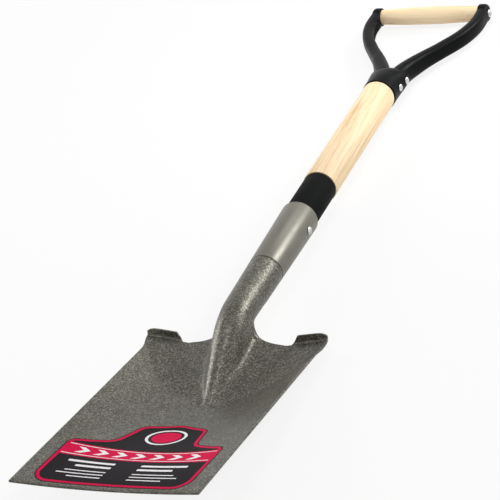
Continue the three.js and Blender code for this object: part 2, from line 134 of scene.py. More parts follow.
def addNode(tree, kind, inputs=None, **settings):
    # one shader node; an input is a value, or an output socket to link from
    node = tree.nodes.new(kind)
    for name, value in settings.items():
        setattr(node, name, value)
    for key, value in (inputs or {}).items():
        socket = node.inputs[key]
        if isinstance(value, bpy.types.NodeSocket):
            tree.links.new(value, socket)
        else:
            socket.default_value = value
    return node


studio = {
    "background": "#ffffff",
    "fill": 0.26,               # even light from all round
    "floor": "#f2f2f2",
    "floorSize": 8,             # m, from the middle to a side
    "floorGlow": 0.84,          # how far the camera sees the floor as white paper, over its shadow
}

# Soft square panels: place, aim and side in metres, power in watts
lamps = {
    "topPanel": {"place": (0.34, -0.84, 3.84), "aim": (0, -0.25, 0), "power": 24, "side": 1.6},
    "leftPanel": {"place": (-3.65, 0.1, 1.35), "aim": (0, -0.25, 0), "power": 86, "side": 2.0},
    "keyPanel": {"place": (2.34, 2.2, 1.97), "aim": (0, -0.25, 0), "power": 97, "side": 1.35},
    "handlePanel": {"place": (0.08, 0.38, 0.42), "aim": (0, 0.5, 0.03), "power": 0.9, "side": 0.25},
}


def backgroundShare(tree):
    # 1 for the rays that see the background: the camera's, and those that gloss and glass send on
    paths = addNode(tree, "ShaderNodeLightPath").outputs
    share = paths["Is Camera Ray"]
    for kind in ("Is Glossy Ray", "Is Transmission Ray"):
        share = addNode(tree, "ShaderNodeMath", {0: share, 1: paths[kind]}, operation="MAXIMUM").outputs[0]
    return share


def makeWorld():
    world = bpy.data.worlds.new("studio")
    bpy.context.scene.world = world
    world.use_nodes = True
    tree = world.node_tree
    tree.nodes.clear()
    white = toLinear(studio["background"])
    fill = addNode(tree, "ShaderNodeBackground", {"Color": white, "Strength": studio["fill"]})
    seen = addNode(tree, "ShaderNodeBackground", {"Color": white, "Strength": 1.0})
    both = addNode(tree, "ShaderNodeMixShader",
                   {0: backgroundShare(tree), 1: fill.outputs[0], 2: seen.outputs[0]})
    addNode(tree, "ShaderNodeOutputWorld", {"Surface": both.outputs[0]})


def areaLamp(name, place, aim, power, side):
    data = bpy.data.lights.new(name, "AREA")
    data.shape = "SQUARE"
    data.size = side
    data.energy = power
    lamp = bpy.data.objects.new(name, data)
    bpy.context.collection.objects.link(lamp)
    lamp.location = place
    lamp.visible_camera = False
    lamp.rotation_euler = (Vector(aim) - Vector(place)).to_track_quat("-Z", "Y").to_euler()


def makeFloor():
    material = bpy.data.materials.new("whitePaperSweep")
    material.use_nodes = True
    tree = material.node_tree
    shader = tree.nodes["Principled BSDF"]
    shader.inputs["Base Color"].default_value = toLinear(studio["floor"])
    shader.inputs["Roughness"].default_value = 0.95
    shader.inputs["Specular IOR Level"].default_value = 0.1
    glow = addNode(tree, "ShaderNodeEmission", {"Color": toLinear(studio["background"]), "Strength": 1.0})
    share = addNode(tree, "ShaderNodeMath", {0: backgroundShare(tree), 1: studio["floorGlow"]},
                    operation="MULTIPLY")
    both = addNode(tree, "ShaderNodeMixShader",
                   {0: share.outputs[0], 1: shader.outputs[0], 2: glow.outputs[0]})
    tree.links.new(both.outputs[0], tree.nodes["Material Output"].inputs["Surface"])
    shape = bmesh.new()
    bmesh.ops.create_grid(shape, x_segments=1, y_segments=1, size=studio["floorSize"])
    mesh = bpy.data.meshes.new("floor")
    shape.to_mesh(mesh)
    shape.free()
    mesh.materials.append(material)
    floor = bpy.data.objects.new("floor", mesh)
    bpy.context.collection.objects.link(floor)


makeWorld()
for lampName, lampSettings in lamps.items():
    areaLamp(lampName, **lampSettings)
makeFloor()
print("camera, light and floor set")


# Materials

def setRamp(ramp, stops):
    elements = ramp.color_ramp.elements
    while len(elements) > 1:
        elements.remove(elements[-1])
    elements[0].position = stops[0][0]
    elements[0].color = toLinear(stops[0][1])
    for position, colour in stops[1:]:
        elements.new(position).color = toLinear(colour)


def newMaterial(name, roughness, metallic, specular=0.5):
    material = bpy.data.materials.new(name)
    material.use_nodes = True
    tree = material.node_tree
    shader = tree.nodes["Principled BSDF"]
    shader.inputs["Roughness"].default_value = roughness
    shader.inputs["Metallic"].default_value = metallic
    shader.inputs["Specular IOR Level"].default_value = specular
    return material, tree, shader


hammerFinish = {
    "dark": "#45433c",
    "base": "#5c5a51",
    "light": "#85827a",
    # the edge's lighter colour: bare steel where the enamel is worn, and a painted highlight along the edge
    "bareSteelAndHighlight": "#8b8982",
    "cell": 2.6,              # mm across a hammered dimple
    "fleck": 1.5,             # mm; real flecks are finer and wouldn't show
    "cloud": 14,              # mm; the spray gun's passes
    "edgePatch": 5,                 # mm; bare, lighter places along the edge: worn steel, and a painted highlight
    "depth": 0.16,            # mm
    "roughness": 0.38,
    "metallic": 0.5,
    "specular": 0.3,
}


def hammeredEnamel(name, wearAndHighlight):
    # hammered enamel, sprayed on steel: grey-green, with dimples and metal flecks that catch the light
    f = hammerFinish
    material, tree, shader = newMaterial(name, f["roughness"], f["metallic"], f["specular"])
    place = addNode(tree, "ShaderNodeTexCoord").outputs["Object"]
    cells = addNode(tree, "ShaderNodeTexVoronoi", {"Vector": place, "Scale": 1 / (f["cell"] * mm)})
    flecks = addNode(tree, "ShaderNodeTexNoise",
                     {"Vector": place, "Scale": 1 / (f["fleck"] * mm), "Detail": 1.0})
    clouds = addNode(tree, "ShaderNodeTexNoise",
                     {"Vector": place, "Scale": 1 / (f["cloud"] * mm), "Detail": 2.0})
    inCell = addNode(tree, "ShaderNodeMapRange", {
        "Value": cells.outputs["Distance"], "From Min": 0.1, "From Max": 0.75,
        "To Min": 0.62, "To Max": 0.38})
    speckled = addNode(tree, "ShaderNodeMix", {0: 0.5, 2: inCell.outputs[0], 3: flecks.outputs["Fac"]})
    tone = addNode(tree, "ShaderNodeMix", {0: 0.08, 2: speckled.outputs[0], 3: clouds.outputs["Fac"]})
    ramp = addNode(tree, "ShaderNodeValToRGB", {"Fac": tone.outputs[0]})
    setRamp(ramp, [(0.40, f["dark"]), (0.50, f["base"]), (0.60, f["light"])])
    colour = ramp.outputs["Color"]
    if wearAndHighlight:
        # along the sheet's edge the enamel is rubbed through to steel in places; the lighter steel there is
        # also a painted highlight along the edge
        edgePatches = addNode(tree, "ShaderNodeTexNoise",
                       {"Vector": place, "Scale": 1 / (f["edgePatch"] * mm), "Detail": 3.0})
        steelAndHighlightShare = addNode(tree, "ShaderNodeMapRange", {
            "Value": edgePatches.outputs["Fac"], "From Min": 0.54, "From Max": 0.7, "To Max": 0.7})
        wornAndHighlighted = addNode(tree, "ShaderNodeMix",
                       {0: steelAndHighlightShare.outputs[0], 6: colour, 7: toLinear(f["bareSteelAndHighlight"])}, data_type="RGBA")
        colour = wornAndHighlighted.outputs[2]
        tree.links.new(steelAndHighlightShare.outputs[0], shader.inputs["Metallic"])
    tree.links.new(colour, shader.inputs["Base Color"])
    height = addNode(tree, "ShaderNodeMix", {0: 0.35, 2: cells.outputs["Distance"], 3: flecks.outputs["Fac"]})
    bump = addNode(tree, "ShaderNodeBump",
                   {"Height": height.outputs[0], "Distance": f["depth"] * mm, "Strength": 1.0}, invert=True)
    tree.links.new(bump.outputs["Normal"], shader.inputs["Normal"])
    return material


sprayFinish = {
    "dust": 22,               # mm; patches that dull the gloss
    "dulling": (-0.05, 0.08),
    "shading": (0.94, 1.06),
}


def sprayedEnamel(name, colour, roughness, metallic, specular, peel, peelDepth):
    # enamel sprayed smooth: a faint orange peel, with dust dulling its gloss in patches
    f = sprayFinish
    material, tree, shader = newMaterial(name, roughness, metallic, specular)
    place = addNode(tree, "ShaderNodeTexCoord").outputs["Object"]
    skin = addNode(tree, "ShaderNodeTexNoise", {"Vector": place, "Scale": 1 / (peel * mm), "Detail": 1.0})
    dust = addNode(tree, "ShaderNodeTexNoise",
                   {"Vector": place, "Scale": 1 / (f["dust"] * mm), "Detail": 4.0})
    dull = addNode(tree, "ShaderNodeMapRange", {
        "Value": dust.outputs["Fac"], "From Min": 0.3, "From Max": 0.7,
        "To Min": roughness + f["dulling"][0], "To Max": roughness + f["dulling"][1]})
    tree.links.new(dull.outputs[0], shader.inputs["Roughness"])
    shade = addNode(tree, "ShaderNodeMapRange", {
        "Value": dust.outputs["Fac"], "From Min": 0.3, "From Max": 0.7,
        "To Min": f["shading"][0], "To Max": f["shading"][1]})
    tinted = addNode(tree, "ShaderNodeHueSaturation", {"Color": toLinear(colour), "Value": shade.outputs[0]})
    tree.links.new(tinted.outputs[0], shader.inputs["Base Color"])
    bump = addNode(tree, "ShaderNodeBump",
                   {"Height": skin.outputs["Fac"], "Distance": peelDepth * mm, "Strength": 1.0})
    tree.links.new(bump.outputs["Normal"], shader.inputs["Normal"])
    return material


ashFinish = {
    "pale": "#f1dab6",
    "base": "#eacfa7",
    "grain": "#d6b189",
    "ring": 2.3,              # mm between growth rings on the turned surface
    "pore": 1.1,              # mm; ash pores are finer, and drawn coarse enough to show
    "figure": 17,             # mm; broad paler and darker wood
    "stretch": 0.016,         # a figure's width over its length
    "poreDepth": 0.05,        # mm
    "roughness": 0.5,
    "specular": 0.3,
}


def turnedAsh(name, along):
    # turned ash under clear varnish: pale, with long darker lines of open pores
    f = ashFinish
    material, tree, shader = newMaterial(name, f["roughness"], 0.0, f["specular"])
    place = addNode(tree, "ShaderNodeTexCoord").outputs["Object"]
    scale = [1.0, 1.0, 1.0]
    scale[along] = f["stretch"]
    fibres = addNode(tree, "ShaderNodeMapping", {"Vector": place, "Scale": scale}).outputs[0]
    rings = addNode(tree, "ShaderNodeTexNoise", {
        "Vector": fibres, "Scale": 1 / (f["ring"] * mm), "Detail": 3.0, "Distortion": 0.2})
    pores = addNode(tree, "ShaderNodeTexNoise",
                    {"Vector": fibres, "Scale": 1 / (f["pore"] * mm), "Detail": 2.0})
    broad = addNode(tree, "ShaderNodeTexNoise",
                    {"Vector": fibres, "Scale": 1 / (f["figure"] * mm), "Detail": 2.0})
    fine = addNode(tree, "ShaderNodeMix", {0: 0.35, 2: rings.outputs["Fac"], 3: pores.outputs["Fac"]})
    figure = addNode(tree, "ShaderNodeMix", {0: 0.25, 2: fine.outputs[0], 3: broad.outputs["Fac"]})
    ramp = addNode(tree, "ShaderNodeValToRGB", {"Fac": figure.outputs[0]})
    setRamp(ramp, [(0.39, f["grain"]), (0.465, f["base"]), (0.57, f["pale"])])
    tree.links.new(ramp.outputs["Color"], shader.inputs["Base Color"])
    bump = addNode(tree, "ShaderNodeBump",
                   {"Height": pores.outputs["Fac"], "Distance": f["poreDepth"] * mm, "Strength": 0.6})
    tree.links.new(bump.outputs["Normal"], shader.inputs["Normal"])
    return material


zincFinish = {
    "dull": "#b5b6b4",
    "bright": "#dededb",
    "scratch": 0.8,           # mm
    "scratchDepth": 0.03,     # mm
    "blotch": 4,              # mm
    "roughness": 0.24,
}


def zincPlate(name):
    # bright zinc on a steel rivet, closed under a dome: fine scratches and a faint blotch
    f = zincFinish
    material, tree, shader = newMaterial(name, f["roughness"], 1.0)
    place = addNode(tree, "ShaderNodeTexCoord").outputs["Object"]
    scratches = addNode(tree, "ShaderNodeTexNoise",
                        {"Vector": place, "Scale": 1 / (f["scratch"] * mm), "Detail": 3.0})
    blotch = addNode(tree, "ShaderNodeTexNoise",
                     {"Vector": place, "Scale": 1 / (f["blotch"] * mm), "Detail": 2.0})
    ramp = addNode(tree, "ShaderNodeValToRGB", {"Fac": blotch.outputs["Fac"]})
    setRamp(ramp, [(0.35, f["dull"]), (0.65, f["bright"])])
    tree.links.new(ramp.outputs["Color"], shader.inputs["Base Color"])
    bump = addNode(tree, "ShaderNodeBump",
                   {"Height": scratches.outputs["Fac"], "Distance": f["scratchDepth"] * mm, "Strength": 0.6})
    tree.links.new(bump.outputs["Normal"], shader.inputs["Normal"])
    return material


filmFinish = {
    "ripple": 9,              # mm
    "rippleDepth": 0.25,      # mm
    "ink": 1.2,               # mm; the print's own grain, drawn coarse enough to show
    "shading": (0.93, 1.05),
    "specular": 0.03,
}


def printedFilm(name, colour, roughness):
    # gravure ink on a film label: even colour, a soft ripple where the film bridges the enamel's dimples
    f = filmFinish
    material, tree, shader = newMaterial(name, roughness, 0.0, f["specular"])
    place = addNode(tree, "ShaderNodeTexCoord").outputs["Object"]
    ripple = addNode(tree, "ShaderNodeTexNoise",
                     {"Vector": place, "Scale": 1 / (f["ripple"] * mm), "Detail": 2.0})
    ink = addNode(tree, "ShaderNodeTexNoise", {"Vector": place, "Scale": 1 / (f["ink"] * mm), "Detail": 1.0})
    shade = addNode(tree, "ShaderNodeMapRange", {
        "Value": ink.outputs["Fac"], "From Min": 0.3, "From Max": 0.7,
        "To Min": f["shading"][0], "To Max": f["shading"][1]})
    tinted = addNode(tree, "ShaderNodeHueSaturation", {"Color": toLinear(colour), "Value": shade.outputs[0]})
    tree.links.new(tinted.outputs[0], shader.inputs["Base Color"])
    bump = addNode(tree, "ShaderNodeBump",
                   {"Height": ripple.outputs["Fac"], "Distance": f["rippleDepth"] * mm, "Strength": 0.5})
    tree.links.new(bump.outputs["Normal"], shader.inputs["Normal"])
    return material


materials = {
    "hammeredEnamel": hammeredEnamel("hammeredEnamel", wearAndHighlight=False),
    "edgeEnamelWithHighlight": hammeredEnamel("wornAndHighlightedEdgeEnamel", wearAndHighlight=True),
    "collarEnamel": sprayedEnamel("collarEnamel", "#706e64", 0.37, 0.4, 0.4, 1.6, 0.02),
    "shrinkTube": sprayedEnamel("shrinkTube", "#131414", 0.6, 0.0, 0.03, 3.0, 0.05),
    "blackEnamel": sprayedEnamel("blackEnamel", "#0b0c0d", 0.34, 0.0, 0.06, 2.2, 0.06),
    "ashShaft": turnedAsh("ashShaft", 1),
    "ashCrossbar": turnedAsh("ashCrossbar", 0),
    "zincPlate": zincPlate("zincPlate"),
    "blackFilm": printedFilm("blackFilm", "#1c191c", 0.42),
    "crimsonInk": printedFilm("crimsonInk", "#cf0f47", 0.42),
    "paleInk": printedFilm("paleInk", "#eceaec", 0.45),
}
print("materials made:", len(materials))


# Building helpers

def addPiece(name, shape, slotName, *materialNames, standsFor=None, smoothAngle=35):
    mesh = bpy.data.meshes.new(name)
    shape.to_mesh(mesh)
    shape.free()
    for materialName in materialNames:
        mesh.materials.append(materials[materialName])
    for polygon in mesh.polygons:
        polygon.use_smooth = True
    mesh.set_sharp_from_angle(angle=math.radians(smoothAngle))
    piece = bpy.data.objects.new(name, mesh)
    bpy.context.collection.objects.link(piece)
    if standsFor:
        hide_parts(standsFor)
    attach(piece, "root")
    return piece


def placedGrid(columns, rows, placeAt, keepCell=None):
    # a grid whose corners are put in place by column and row, without the cells that aren't kept
    shape = bmesh.new()
    bmesh.ops.create_grid(shape, x_segments=columns, y_segments=rows, size=1)
    if keepCell:
        dropped = []
        for face in shape.faces:
            centre = face.calc_center_median()
            column = int((centre.x + 1) / 2 * columns)
            row = int((centre.y + 1) / 2 * rows)
            if not keepCell(column, row):
                dropped.append(face)
        bmesh.ops.delete(shape, geom=dropped, context="FACES")
    for vertex in shape.verts:
        column = round((vertex.co.x + 1) / 2 * columns)
        row = round((vertex.co.y + 1) / 2 * rows)
        vertex.co = placeAt(column, row)
    return shape


def closeUp(shape):
    # merges the seam, fills the open ends and turns the faces outward
    bmesh.ops.remove_doubles(shape, verts=shape.verts, dist=0.001)
    bmesh.ops.holes_fill(shape, edges=[edge for edge in shape.edges if edge.is_boundary], sides=0)
    bmesh.ops.recalc_face_normals(shape, faces=shape.faces)


def spunShape(profile, alongShaft, around=96, rounding=0.0, centre=(0, 0, 0)):
    # pairs of radius and place, spun round an axis across the spade, or along the shaft
    shape = bmesh.new()
    corners = []
    for radius, place in profile:
        corners.append(shape.verts.new((radius, place, 0) if alongShaft else (place, radius, 0)))
    edges = [shape.edges.new(pair) for pair in zip(corners, corners[1:])]
    axis = (0, 1, 0) if alongShaft else (1, 0, 0)
    bmesh.ops.spin(shape, geom=corners + edges, axis=axis, angle=2 * math.pi, steps=around, use_merge=True)
    bmesh.ops.remove_doubles(shape, verts=shape.verts, dist=0.001)
    bmesh.ops.recalc_face_normals(shape, faces=shape.faces)
    if rounding:
        rims = [edge for edge in shape.edges if edge.calc_face_angle(0) > math.radians(40)]
        bmesh.ops.bevel(shape, geom=rims, offset=rounding, segments=3, profile=0.5, affect="EDGES",
                        material=-1)
    bmesh.ops.translate(shape, verts=shape.verts, vec=centre)
    return shape


def toSharedFrame(shape):
    bmesh.ops.transform(shape, matrix=toRow, verts=shape.verts)
    return shape


# Blade and socket: one pressed sheet, rolled into a tube behind the blade

sheet = {
    "thickness": 2,
    "length": 310,
    "width": 200,
    "lift": math.radians(9.5),            # the blade's rise to the shaft
    "setBack": 22,            # from the shaft's axis to the top edge behind it
    "flare": 4,               # how far each side widens under its tread
    "flareLength": 26,
    "cuttingDish": 4,
    "troughDish": 31.4,
    "crestLength": 92,
    "crestFade": 7,           # half the length over which the crest grows out of the blade
    "crestReach": 25,         # how far up the tube its rise goes on
    "tipRadius": 9.5,
    "tipAngle": math.radians(30),
    "flankAngle": math.radians(85),
    "slopeShare": 0.36,
    "apexX": 28,              # where the valley starts, beside the crest's point
    "apexY": -82,
    "mouthX": 56,             # where it meets the top edge
    "cornerRise": 3,          # the facet's height over the side's line at the corner
    "valleyDrop": 4.5,        # and its depth below it at the valley's mouth
    "foldSoftness": 0.35,
    "treadX": 63,
    "treadLength": 11,
    "treadCut": 7,            # the slant of its inner end
    "treadBend": 3.5,
    "treadAngle": math.radians(76),
    "treadRounding": 4,
    "treadCorner": 8,         # the power that keeps the tread's rounding to its outer corner
    "neckRadius": 16.8,
    "socketRadius": 18.7,
    "joggle": 2,              # length of the step in, under the collar
    "scoop": 42,              # how far up the tube its open back is scooped out
    "scoopPower": 8,
    "scoopAngle": math.radians(118),
    "seamAngle": math.radians(171),       # how far round to the seam the sheet is rolled
    "seamLength": 62,
    "wingAngle": math.radians(8),
    "wingTightness": 0.9,
    "edgeBreak": 0.35,
    "endInset": 0.3,          # keeps the cutting edge's corners within its length
}
sheet["end"] = -sheet["length"] * math.cos(sheet["lift"])
sheet["tip"] = -sheet["crestLength"]

# Its mesh: columns from the middle to the side, and rows from the cutting edge up
steps = {
    "crown": 8,
    "wing": 16,
    "facet": 30,
    "lower": 40,
    "crest": 66,
    "tread": 12,
    "scoop": 18,
    "tube": 20,
    "covered": 6,             # inside the collar
}
steps["valley"] = steps["crown"] + steps["wing"]
steps["side"] = steps["valley"] + steps["facet"]
steps["topEdge"] = steps["lower"] + steps["crest"]


def halfWidthAt(y):
    return sheet["width"] / 2 + sheet["flare"] * easeBetween(-sheet["flareLength"], 0, y)


def edgeHeightAt(y):
    return -sheet["setBack"] - y * math.tan(sheet["lift"])


def mainFaceAt(x, y):
    dish = mix(sheet["cuttingDish"], sheet["troughDish"], easeBetween(sheet["end"], sheet["apexY"], y))
    return edgeHeightAt(y) - dish * (1 - (x / halfWidthAt(y)) ** 2)


def plane(a, b, c):
    normal = (b - a).cross(c - a)
    return a, normal


facetPlane = plane(
    Vector((sheet["apexX"], sheet["apexY"], mainFaceAt(sheet["apexX"], sheet["apexY"]))),
    Vector((halfWidthAt(0), 0, edgeHeightAt(0) + sheet["cornerRise"])),
    Vector((sheet["mouthX"], 0, edgeHeightAt(0) - sheet["valleyDrop"])),
)


def facetAt(x, y):
    point, normal = facetPlane
    return point.z - (normal.x * (x - point.x) + normal.y * (y - point.y)) / normal.z


def faceAt(x, y):
    # the higher of the two faces, with the fold between them rounded
    main, facet = mainFaceAt(x, y), facetAt(x, y)
    return (main + facet + math.hypot(main - facet, sheet["foldSoftness"])) / 2


def valleyAt(y):
    return mix(sheet["apexX"], sheet["mouthX"], clamp((y - sheet["apexY"]) / -sheet["apexY"]))


def coneRadiusAt(y):
    return mix(sheet["neckRadius"], sheet["socketRadius"], max(y, 0) / spade["collarBottom"])


def tubeRadiusAt(y):
    # the sheet steps in where the collar carries on its outside
    stepped = easeBetween(spade["collarBottom"] - sheet["joggle"], spade["collarBottom"], y)
    return coneRadiusAt(y) - (spade["collarWall"] + spade["gap"]) * stepped


def crestHeightAt(y):
    if y <= sheet["tip"]:
        return mainFaceAt(0, y)
    run = sheet["crestLength"] + sheet["crestReach"]
    share = clamp((y - sheet["tip"]) / run)
    start = mainFaceAt(0, sheet["tip"])
    end = tubeRadiusAt(max(y, sheet["crestReach"]))
    return mix(start, end, ease(share)) + share * (1 - share) ** 2 * sheet["slopeShare"] * run


def sectionEndAt(y):
    # where the crest's section ends: in the valley, then along the scooped top edge, then at the tube's seam
    if y <= 0:
        x = valleyAt(y)
        return x, faceAt(x, y), sheet["wingAngle"] * easeBetween(sheet["tip"], 0, y), 0
    radius = tubeRadiusAt(y)
    scooped = 1 - (1 - clamp(y / sheet["scoop"])) ** sheet["scoopPower"]
    wrap = mix(sheet["scoopAngle"], sheet["seamAngle"],
               easeBetween(sheet["scoop"], sheet["scoop"] + sheet["seamLength"], y))
    x = mix(sheet["mouthX"], radius * math.sin(wrap), scooped)
    z = mix(faceAt(sheet["mouthX"], 0), radius * math.cos(wrap), scooped ** sheet["scoopPower"])
    return x, z, mix(sheet["wingAngle"], wrap, scooped ** 2), scooped ** 2


def crestPoint(y, column):
    # the crest's section: first the round crown, then one Bezier curve from its flank to the section's end
    widened = easeBetween(sheet["tip"], 0, y)
    radius = tubeRadiusAt(y) if y >= 0 else mix(sheet["tipRadius"], sheet["neckRadius"], widened)
    flank = mix(sheet["tipAngle"], sheet["flankAngle"], widened)
    centre = crestHeightAt(y) - radius
    if column <= steps["crown"]:
        angle = flank * column / steps["crown"]
        return radius * math.sin(angle), centre + radius * math.cos(angle)
    endX, endZ, endAngle, wrapped = sectionEndAt(y)
    startX, startZ = radius * math.sin(flank), centre + radius * math.cos(flank)
    turn = abs(endAngle - flank)
    arcHandle = 2 / 3 * math.tan(turn / 4) / math.sin(turn / 2) * math.hypot(endX - startX, endZ - startZ)
    flankHandle = mix(sheet["wingTightness"] * abs(startZ - endZ), arcHandle, wrapped)
    endHandle = mix(sheet["wingTightness"] * abs(endX - startX), arcHandle, wrapped)
    bendX, bendZ = startX + flankHandle * math.cos(flank), startZ - flankHandle * math.sin(flank)
    leanX, leanZ = endX - endHandle * math.cos(endAngle), endZ + endHandle * math.sin(endAngle)
    t = (column - steps["crown"]) / steps["wing"]
    weights = ((1 - t) ** 3, 3 * (1 - t) ** 2 * t, 3 * (1 - t) * t ** 2, t ** 3)
    x = sum(w * v for w, v in zip(weights, (startX, bendX, leanX, endX)))
    z = sum(w * v for w, v in zip(weights, (startZ, bendZ, leanZ, endZ)))
    return x, z


def bladePoint(y, column):
    if column > steps["valley"]:
        treadShare = (sheet["treadX"] - sheet["mouthX"]) / (halfWidthAt(0) - sheet["mouthX"])
        share = mix(treadShare, 1, (column - steps["valley"] - 1) / (steps["facet"] - 1))
        x = mix(valleyAt(y), halfWidthAt(y), share)
        return x, y, faceAt(x, y)
    crestX, crestZ = crestPoint(y, column)
    even = sheet["apexX"] * column / steps["valley"]
    x = mix(even, crestX, easeBetween(sheet["tip"] - sheet["apexX"], sheet["tip"], y))
    raised = easeBetween(sheet["tip"] - sheet["crestFade"], sheet["tip"] + sheet["crestFade"], y)
    return x, y, mix(faceAt(x, y), crestZ, raised)


def treadPoint(share, column):
    # the tread bends forward out of the top edge, its outer corner rounded and its inner end cut aslant
    across = (column - steps["valley"] - 1) / (steps["facet"] - 1)
    rounded = sheet["treadRounding"] * across ** sheet["treadCorner"]
    along = (sheet["treadLength"] - rounded) * share
    x = mix(sheet["treadX"] + sheet["treadCut"] * share, halfWidthAt(0), across)
    bent = min(along / sheet["treadBend"], sheet["treadAngle"])
    straight = along - bent * sheet["treadBend"]
    forward = sheet["treadBend"] * (1 - math.cos(bent)) + straight * math.sin(bent)
    up = sheet["treadBend"] * math.sin(bent) + straight * math.cos(bent)
    return x, up, faceAt(x, 0) + forward


def sheetRowAt(row):
    # a row's place along the shaft, up to the socket's top
    fade = sheet["tip"] - sheet["crestFade"]
    if row <= steps["lower"]:
        return mix(sheet["end"] + sheet["endInset"], fade, row / steps["lower"])
    if row <= steps["topEdge"]:
        return mix(fade, 0, (row - steps["lower"]) / steps["crest"])
    row -= steps["topEdge"]
    if row <= steps["scoop"]:
        return sheet["scoop"] * (row / steps["scoop"]) ** 2
    row -= steps["scoop"]
    if row <= steps["tube"]:
        return mix(sheet["scoop"], spade["collarBottom"] - sheet["joggle"], row / steps["tube"])
    share = (row - steps["tube"]) / steps["covered"]
    return mix(spade["collarBottom"] - sheet["joggle"], spade["socketTop"], share ** 3)


def sheetCorner(column, row):
    side = column - steps["side"]
    out = abs(side)
    if row > steps["topEdge"] and out > steps["valley"]:
        x, y, z = treadPoint((row - steps["topEdge"]) / steps["tread"], out)
    elif row > steps["topEdge"]:
        y = sheetRowAt(row)
        x, z = crestPoint(y, out)
    else:
        x, y, z = bladePoint(sheetRowAt(row), out)
    return toRow @ Vector((math.copysign(x, side), y, z))


def sheetHasCell(column, row):
    # above the top edge there are the tube in the middle and the treads, with a notch between
    inner = min(abs(column - steps["side"]), abs(column + 1 - steps["side"]))
    if row < steps["topEdge"]:
        return True
    if inner < steps["valley"]:
        return True
    return inner > steps["valley"] and row < steps["topEdge"] + steps["tread"]


def makeBlade():
    rows = steps["topEdge"] + steps["scoop"] + steps["tube"] + steps["covered"]
    shape = placedGrid(2 * steps["side"], rows, sheetCorner, sheetHasCell)
    blade = addPiece("blade_and_socket_sheet", shape, "blade_and_socket", "hammeredEnamel", "edgeEnamelWithHighlight",
                     standsFor="blade_and_socket", smoothAngle=30)
    thick = blade.modifiers.new("thickness", "SOLIDIFY")
    thick.thickness = sheet["thickness"] * mm
    thick.offset = 0
    # the sheet's rim takes the second enamel: worn steel in places, which is also a painted highlight along
    # the edge
    thick.material_offset_rim = 1
    edges = blade.modifiers.new("edgeBreak", "BEVEL")
    edges.width = sheet["edgeBreak"] * mm
    edges.segments = 2
    edges.limit_method = "ANGLE"
    edges.angle_limit = math.radians(50)


makeBlade()
print("blade made")


# Collar: a cone flush with the socket, its upper end rolled in round the sleeve

collar = {
    "lip": 2.4,
    "lipSteps": 6,
    "edgeBreak": 0.2,
}

sleeve = {
    "radius": 19.4,
    "wall": 1.2,
    "edgeBreak": 0.5,
}


def collarRadiusAt(y):
    return coneRadiusAt(y) + sheet["thickness"] / 2


def makeCollar():
    low, high, wall = spade["collarBottom"], spade["collarTop"], spade["collarWall"]
    lipBore = sleeve["radius"] + spade["gap"]
    wide = collarRadiusAt(high)
    profile = [(collarRadiusAt(low) - wall, low), (collarRadiusAt(low), low)]
    for step in range(collar["lipSteps"] + 1):
        angle = math.radians(90) * step / collar["lipSteps"]
        radius = mix(lipBore, wide, math.cos(angle))
        profile.append((radius, high - collar["lip"] * (1 - math.sin(angle))))
    profile.append((lipBore, high - collar["lip"]))
    profile.append((wide - wall, high - collar["lip"] - wall))
    profile.append(profile[0])
    shape = toSharedFrame(spunShape(profile, True, rounding=collar["edgeBreak"]))
    addPiece("socket_collar_cone", shape, "socket_collar", "collarEnamel", standsFor="socket_collar")


def makeSleeve():
    low, high = spade["sleeveBottom"], spade["sleeveTop"]
    bore = sleeve["radius"] - sleeve["wall"]
    profile = [(bore, low), (sleeve["radius"], low), (sleeve["radius"], high), (bore, high), (bore, low)]
    shape = toSharedFrame(spunShape(profile, True, rounding=sleeve["edgeBreak"]))
    addPiece("shaft_sleeve_tube", shape, "shaft_sleeve", "shrinkTube", standsFor="shaft_sleeve")


makeCollar()
makeSleeve()
print("collar and sleeve made")


# Yoke: a rimmed cup that splits into two channelled arms, each ending in an eye round the crossbar's end

yoke = {
    "length": 212,
    "cupRadius": 21.1,
    "cupWall": 1.9,
    "cupDepth": 38,
    "cupStraight": 0.35,      # share of the cup's depth before its bore tapers
    "cupTaper": 0.74,         # its bore at the bottom, as a share of the mouth's
    "cupChamfer": 0.3,
    "body": 49,               # from the cup's rim to where the arms part
    "eyeRadius": 12,
    "eyeInner": 66,
    "eyeOuter": 79,
    "eyeRounding": 5.4,
    "eyeChamfer": 1,
    "eyeSteps": 8,
    "facing": 0.8,            # how far round the eye the arm is cut flat
    "spotFace": 0.5,          # how far the crossbar rivet's heads are let in
    "seatDepth": 3,
    "reach": 72,              # from the middle to the arm's line at the eye
    "armDepth": 20.5,
    "rootDepth": 29,
    "armThickness": 15.5,
    "rootThickness": 24,
    "settled": 0.5,           # share of the arm by which its section no longer changes
    "rootPower": 2,
    "armPower": 3,            # a squarer section than the root's
    "channel": 3.4,
    "channelFloor": 0.3,      # half widths of its floor and mouth, as shares of the arm's half depth
    "channelMouth": 0.6,
    "channelStart": (0.3, 0.45),
    "channelEnd": (0.85, 0.93),
    "rivetShares": (0.5, 0.97),     # each rivet's place up the cup, as a share of its depth
    "gripShares": (1.025, 1.13),    # where its heads sit, as shares of the cup's radius
    "corners": 48,            # round a section
    "armRows": 72,
    "bodyRows": 24,
    "voxel": 0.9,             # mm, where the shells are grown together
    "smoothing": 5,
}

# The arm's line, as shares of its reach and of the yoke's length
armStops = (
    (0.13, 0.12),
    (0.18, 0.245),
    (0.385, 0.4),
    (0.635, 0.54),
    (0.87, 0.685),
    (0.99, 0.83),
    (1, 1),
)
# The body's sections: place along it, half width and half depth, as shares of its length and the cup's radius
bodyStops = (
    (0, 1, 1),
    (0.29, 1.02, 0.99),
    (0.53, 1.08, 0.94),
    (0.76, 1.17, 0.84),
    (0.92, 1.14, 0.66),
    (1, 0.7, 0.36),
)

rivet = {
    "radius": 2.6,
    "head": 4.6,
    "height": 2.4,
}
rod = {
    "radius": 3.4,
    "head": 5.2,
    "height": 2.8,
}
bar = {
    "middle": 11.4,
    "end": 9.6,
    "steps": 32,
}


